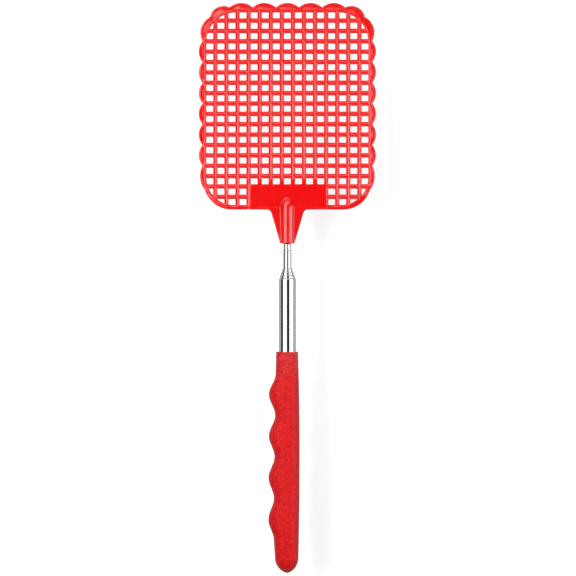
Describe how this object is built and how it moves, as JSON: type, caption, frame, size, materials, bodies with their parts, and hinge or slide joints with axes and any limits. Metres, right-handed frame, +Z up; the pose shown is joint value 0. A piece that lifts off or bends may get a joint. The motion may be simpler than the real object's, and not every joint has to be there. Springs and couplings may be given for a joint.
{
  "type": "fly swatter",
  "caption": "Telescopic fly swatter: a scalloped plastic mesh head on nested steel tubes that pull out of a soft grip with finger bumps.",
  "frame": {"origin": "under the middle of the collapsed swatter, on the surface that it lies on", "axes": "+Y along the shaft towards the head, +X across, +Z up through the flat of the head"},
  "size_m": [0.087, 0.28, 0.0144],
  "materials": {
    "head_plastic": "glossy moulded polypropylene",
    "grip_rubber": "fine leathery grain",
    "polished_steel": "polished drawn stainless steel",
    "turned_steel": "fine turned",
    "brass": "rolled spring brass",
    "plug_nylon": "moulded nylon"
  },
  "bodies": {
    "handle": {"grip": "grip_rubber", "outer_tube": "polished_steel", "base_plug": "plug_nylon"},
    "second_shims": {"second_tube_shim_left": "brass", "second_tube_shim_right": "brass"},
    "second_stage": {"second_tube": "polished_steel", "second_tube_bush": "brass"},
    "third_shims": {"third_tube_shim_left": "brass", "third_tube_shim_right": "brass"},
    "third_stage": {"third_tube": "polished_steel", "third_tube_bush": "brass"},
    "fourth_shims": {"fourth_tube_shim_left": "brass", "fourth_tube_shim_right": "brass"},
    "fourth_stage": {"fourth_tube": "polished_steel", "fourth_tube_bush": "brass"},
    "fifth_shims": {"fifth_tube_shim_left": "brass", "fifth_tube_shim_right": "brass"},
    "head_stage": {"fifth_tube": "polished_steel", "fifth_tube_bush": "brass", "head_spigot": "turned_steel", "swat_head": "head_plastic"}
  },
  "joints": [
    {"name": "second_slide", "type": "slide", "parent": "handle", "child": "second_shims", "axis": [0, 1, 0], "range_m": [0, 0.1205]},
    {"name": "second_spin", "type": "hinge", "parent": "second_shims", "child": "second_stage", "pos_m": [0, -0.12, 0.0072], "axis": [0, 1, 0], "continuous": true},
    {"name": "third_slide", "type": "slide", "parent": "second_stage", "child": "third_shims", "axis": [0, 1, 0], "range_m": [0, 0.1146]},
    {"name": "third_spin", "type": "hinge", "parent": "third_shims", "child": "third_stage", "pos_m": [0, -0.112, 0.0072], "axis": [0, 1, 0], "continuous": true},
    {"name": "fourth_slide", "type": "slide", "parent": "third_stage", "child": "fourth_shims", "axis": [0, 1, 0], "range_m": [0, 0.1087]},
    {"name": "fourth_spin", "type": "hinge", "parent": "fourth_shims", "child": "fourth_stage", "pos_m": [0, -0.105, 0.0072], "axis": [0, 1, 0], "continuous": true},
    {"name": "fifth_slide", "type": "slide", "parent": "fourth_stage", "child": "fifth_shims", "axis": [0, 1, 0], "range_m": [0, 0.1028]},
    {"name": "fifth_spin", "type": "hinge", "parent": "fifth_shims", "child": "head_stage", "pos_m": [0, -0.097, 0.0072], "axis": [0, 1, 0], "continuous": true}
  ]
}
